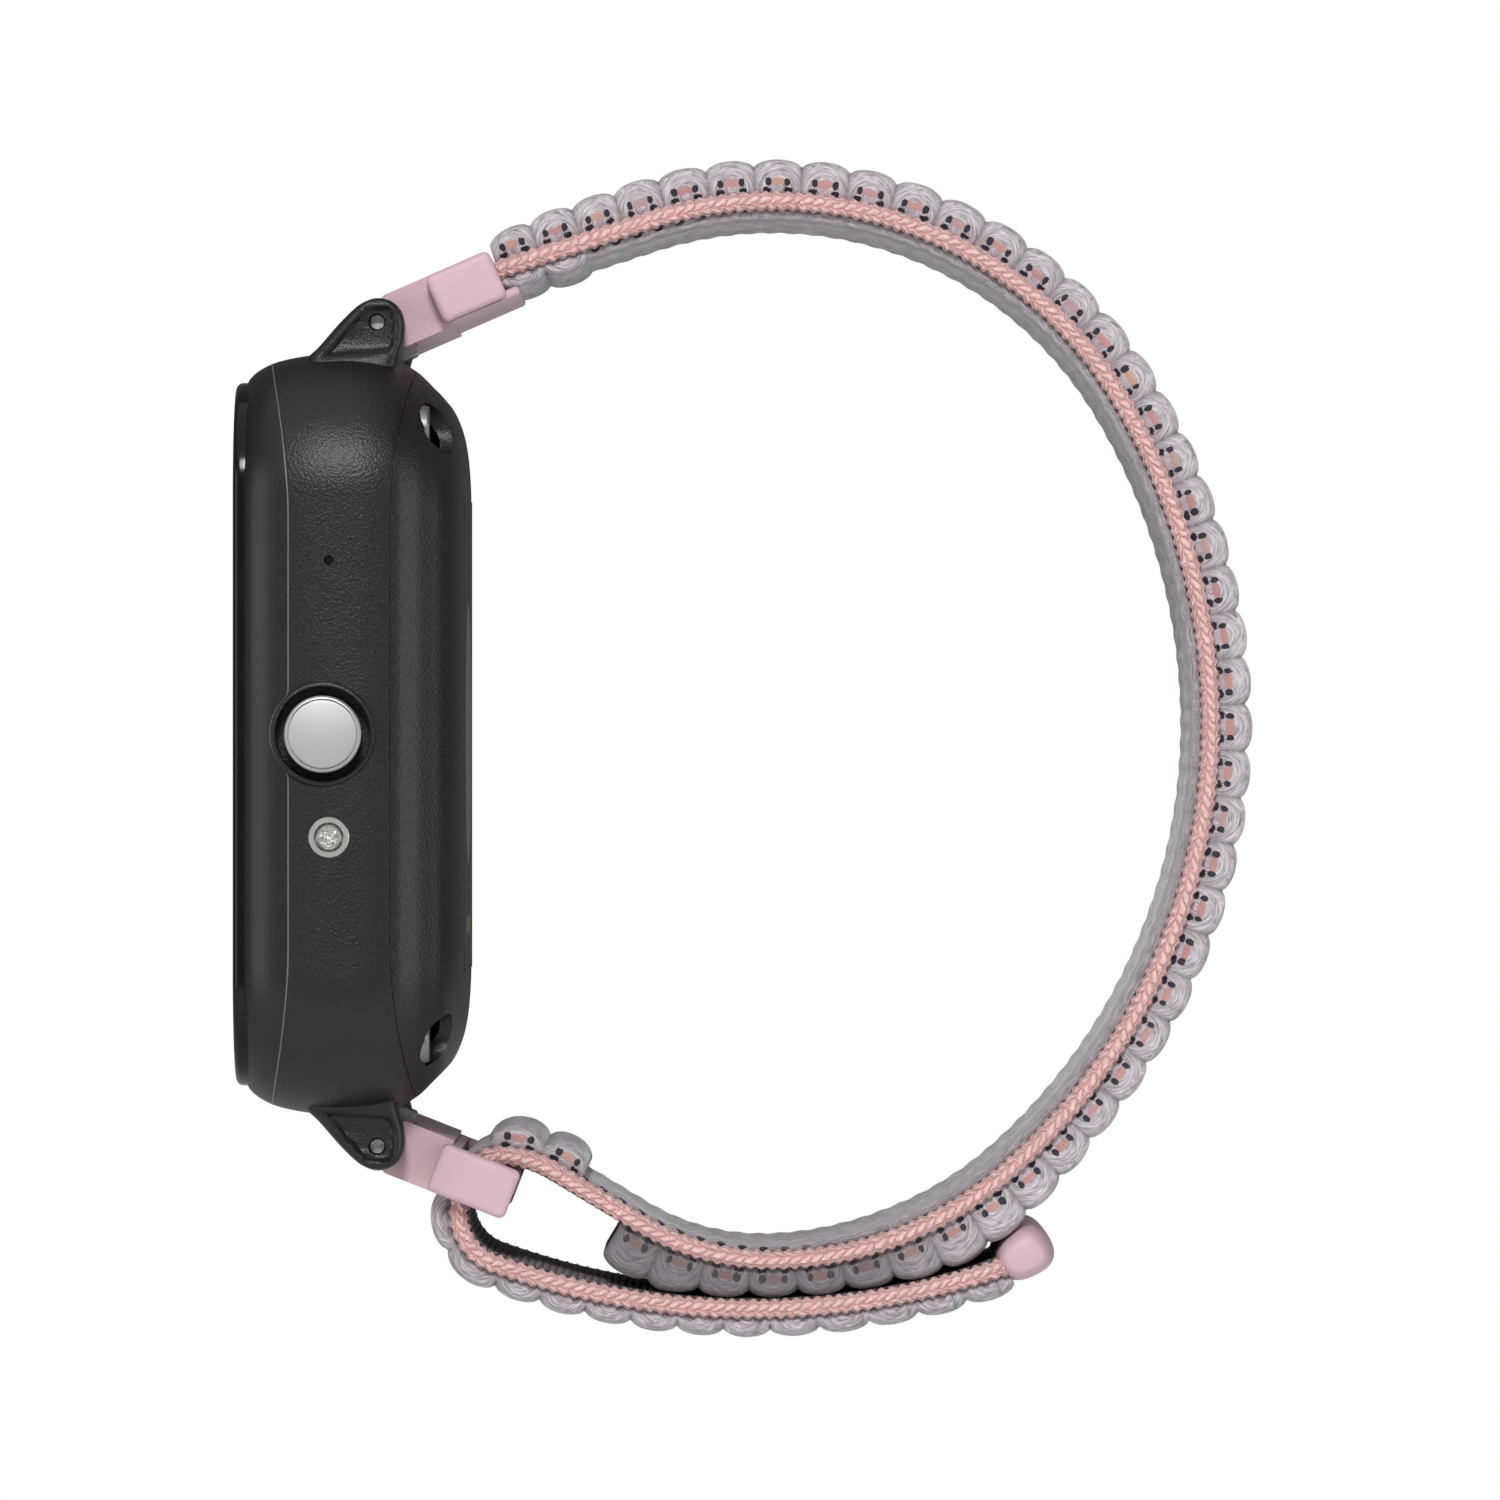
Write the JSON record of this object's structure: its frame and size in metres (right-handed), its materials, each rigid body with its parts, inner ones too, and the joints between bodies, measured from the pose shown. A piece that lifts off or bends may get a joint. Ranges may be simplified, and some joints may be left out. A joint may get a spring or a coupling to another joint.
{
  "type": "smartwatch with woven loop strap",
  "caption": "Rounded rectangular activity watch with a side button and a fold-back woven strap on quick-release connectors.",
  "frame": {"origin": "centre of the flat face of the case back", "axes": "+Y out of the case back into the strap loop, so the glass faces -Y; +Z towards the upper lugs, the 12 o'clock end; +X across the wrist towards the button"},
  "size_m": [0.0379, 0.0572, 0.0662],
  "materials": {
    "case": "fine leather-like mould texture",
    "bezel": "smooth satin",
    "glass": "dark cover glass",
    "display": "switched-off display",
    "flex_film": "amber film",
    "seal": "soft seal",
    "steel": "turned steel",
    "window": "tinted window",
    "board": "solder mask",
    "chip": "moulded chip",
    "gold": "plated contact",
    "cell": "foil pouch",
    "tin": "tinned sheet",
    "button": "satin metal",
    "lens": "clear light guide",
    "connector": "satin dusty pink plastic",
    "strap": "grey and lilac loop pile on a salmon knit edge",
    "hook": "flat hook face"
  },
  "bodies": {
    "case": {"mid_case": "case", "front_bezel": "bezel", "front_glass": "glass", "display_panel": "display", "display_flex": "flex_film", "back_cover": "case", "back_gasket": "seal", "back_screws": "steel", "sensor_window": "window", "sensor_board": "board", "sensor_leds": "chip", "charge_contacts": "gold", "battery": "cell", "main_board": "board", "shield_can": "tin", "vibration_motor": "steel", "microphone": "tin", "button_seal": "seal", "button_switch": "chip", "side_lamp_ring": "button", "side_lamp_lens": "lens", "side_lamp_led": "chip"},
    "button": {"button_cap": "button", "button_stem": "steel"},
    "upper_strap": {"upper_connector": "connector", "upper_bar_tube": "steel", "upper_fixed_tip": "steel", "upper_bar_spring": "steel", "band_1": "strap"},
    "upper_release": {"upper_release_tip": "steel"},
    "strap_2": {"band_2": "strap"},
    "strap_3": {"band_3": "strap"},
    "strap_4": {"band_4": "strap"},
    "lower_strap": {"band_5": "strap", "hook_fold": "hook", "lower_connector": "connector", "lower_bar_tube": "steel", "lower_fixed_tip": "steel", "lower_bar_spring": "steel"},
    "lower_release": {"lower_release_tip": "steel"},
    "tail_root": {"tail_1": "strap"},
    "tail_middle": {"tail_2": "strap"},
    "tail_end": {"tail_3": "strap", "end_cap": "connector"}
  },
  "joints": [
    {"name": "strap_swing", "type": "hinge", "parent": "case", "child": "upper_strap", "pos_m": [0, -0.00494, 0.02349], "axis": [1, 0, 0], "range_deg": [-10, 10], "stiffness_Nm_per_rad": 0.05},
    {"name": "strap_flex_1", "type": "hinge", "parent": "upper_strap", "child": "strap_2", "pos_m": [0, 0.01357, 0.03012], "axis": [1, 0, 0], "range_deg": [-6, 6]},
    {"name": "strap_flex_2", "type": "hinge", "parent": "strap_2", "child": "strap_3", "pos_m": [0, 0.03357, 0.02408], "axis": [1, 0, 0], "range_deg": [-4, 4]},
    {"name": "strap_flex_3", "type": "hinge", "parent": "strap_3", "child": "strap_4", "pos_m": [0, 0.04231, 0.00529], "axis": [1, 0, 0], "range_deg": [-5.5, 5.5]},
    {"name": "strap_flex_4", "type": "hinge", "parent": "strap_4", "child": "lower_strap", "pos_m": [0, 0.03874, -0.01516], "axis": [1, 0, 0], "range_deg": [-10.5, 10.5]},
    {"name": "tail_peel", "type": "hinge", "parent": "lower_strap", "child": "tail_root", "pos_m": [0, 0.00162, -0.03023], "axis": [1, 0, 0], "range_deg": [-60, 0]},
    {"name": "tail_curl_1", "type": "hinge", "parent": "tail_root", "child": "tail_middle", "pos_m": [0, 0.01198, -0.03262], "axis": [1, 0, 0], "range_deg": [-20, 0]},
    {"name": "tail_curl_2", "type": "hinge", "parent": "tail_middle", "child": "tail_end", "pos_m": [0, 0.02144, -0.03258], "axis": [1, 0, 0], "range_deg": [-20, 0]},
    {"name": "button_press", "type": "slide", "parent": "case", "child": "button", "axis": [-1, 0, 0], "range_m": [0, 0.0004], "stiffness_N_per_m": 800},
    {"name": "upper_release", "type": "slide", "parent": "upper_strap", "child": "upper_release", "axis": [-1, 0, 0], "range_m": [0, 0.0018], "stiffness_N_per_m": 300, "deforming": ["upper_bar_spring"]},
    {"name": "lower_release", "type": "slide", "parent": "lower_strap", "child": "lower_release", "axis": [-1, 0, 0], "range_m": [0, 0.0018], "stiffness_N_per_m": 300, "deforming": ["lower_bar_spring"]}
  ],
  "couplings": [
    {"joint": "strap_flex_1", "follows": "strap_swing", "ratio": -0.5241},
    {"joint": "strap_flex_2", "follows": "strap_swing", "ratio": -0.2857},
    {"joint": "strap_flex_3", "follows": "strap_swing", "ratio": -0.468},
    {"joint": "strap_flex_4", "follows": "strap_swing", "ratio": 0.98},
    {"joint": "tail_curl_1", "follows": "tail_peel", "ratio": 0.3},
    {"joint": "tail_curl_2", "follows": "tail_peel", "ratio": 0.3}
  ]
}
